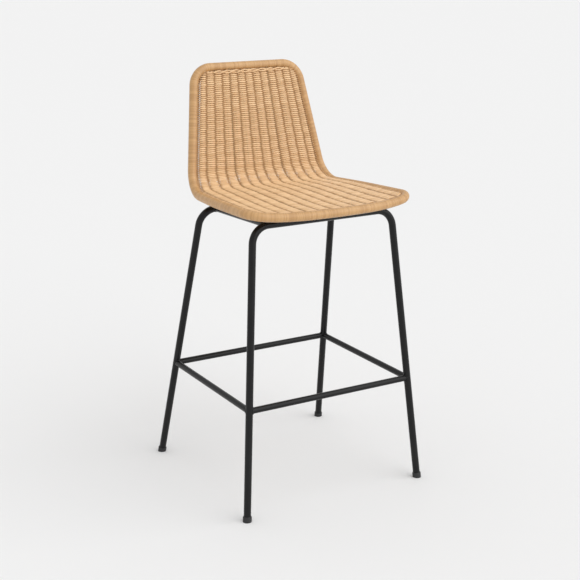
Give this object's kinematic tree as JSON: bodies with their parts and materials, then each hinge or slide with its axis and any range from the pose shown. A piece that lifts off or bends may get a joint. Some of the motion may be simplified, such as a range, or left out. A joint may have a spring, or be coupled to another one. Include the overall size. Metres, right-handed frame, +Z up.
{
  "type": "bar stool",
  "caption": "Bar-height stool with a woven cane shell on a steel rim, splayed round-tube legs, a footrest all round and flat-bottomed foot caps.",
  "frame": {"origin": "on the floor, under the middle of the stool", "axes": "+Z up, the sitter faces -Y, +X to the right in a view from the front"},
  "size_m": [0.527, 0.5148, 1.0499],
  "materials": {
    "powder_coat": "satin black powder coat",
    "foot_plastic": "matt black",
    "zinc_steel": "zinc plated",
    "shell_steel": "brown primer",
    "woven_cane": "satin natural cane",
    "binding_cane": "satin natural cane"
  },
  "bodies": {
    "root": {"front_leg_frame": "powder_coat", "rear_leg_frame": "powder_coat", "footrest_bar_front": "powder_coat", "footrest_bar_rear": "powder_coat", "footrest_bar_left": "powder_coat", "footrest_bar_right": "powder_coat", "seat_rail_left": "powder_coat", "seat_rail_right": "powder_coat", "foot_front_left": "foot_plastic", "foot_front_right": "foot_plastic", "foot_rear_left": "foot_plastic", "foot_rear_right": "foot_plastic", "rail_tabs": "powder_coat", "seat_washers": "zinc_steel", "seat_bolts": "zinc_steel", "threaded_bosses": "shell_steel", "shell_strap_front": "shell_steel", "shell_strap_rear": "shell_steel", "rim_tube_back": "shell_steel", "rim_tube_seat": "shell_steel", "shell_stay_left": "shell_steel", "shell_stay_right": "shell_steel", "woven_panel": "woven_cane", "border_braid": "woven_cane", "rim_binding_top": "binding_cane", "rim_binding_back_right": "binding_cane", "rim_binding_bend_right": "binding_cane", "rim_binding_seat_right": "binding_cane", "rim_binding_front": "binding_cane", "rim_binding_seat_left": "binding_cane", "rim_binding_bend_left": "binding_cane", "rim_binding_back_left": "binding_cane", "cane_stake_01": "woven_cane", "cane_stake_02": "woven_cane", "cane_stake_03": "woven_cane", "cane_stake_04": "woven_cane", "cane_stake_05": "woven_cane", "cane_stake_06": "woven_cane", "cane_stake_07": "woven_cane", "cane_stake_08": "woven_cane", "cane_stake_09": "woven_cane", "cane_stake_10": "woven_cane", "cane_stake_11": "woven_cane", "cane_stake_12": "woven_cane", "cane_stake_13": "woven_cane"}
  },
  "joints": []
}
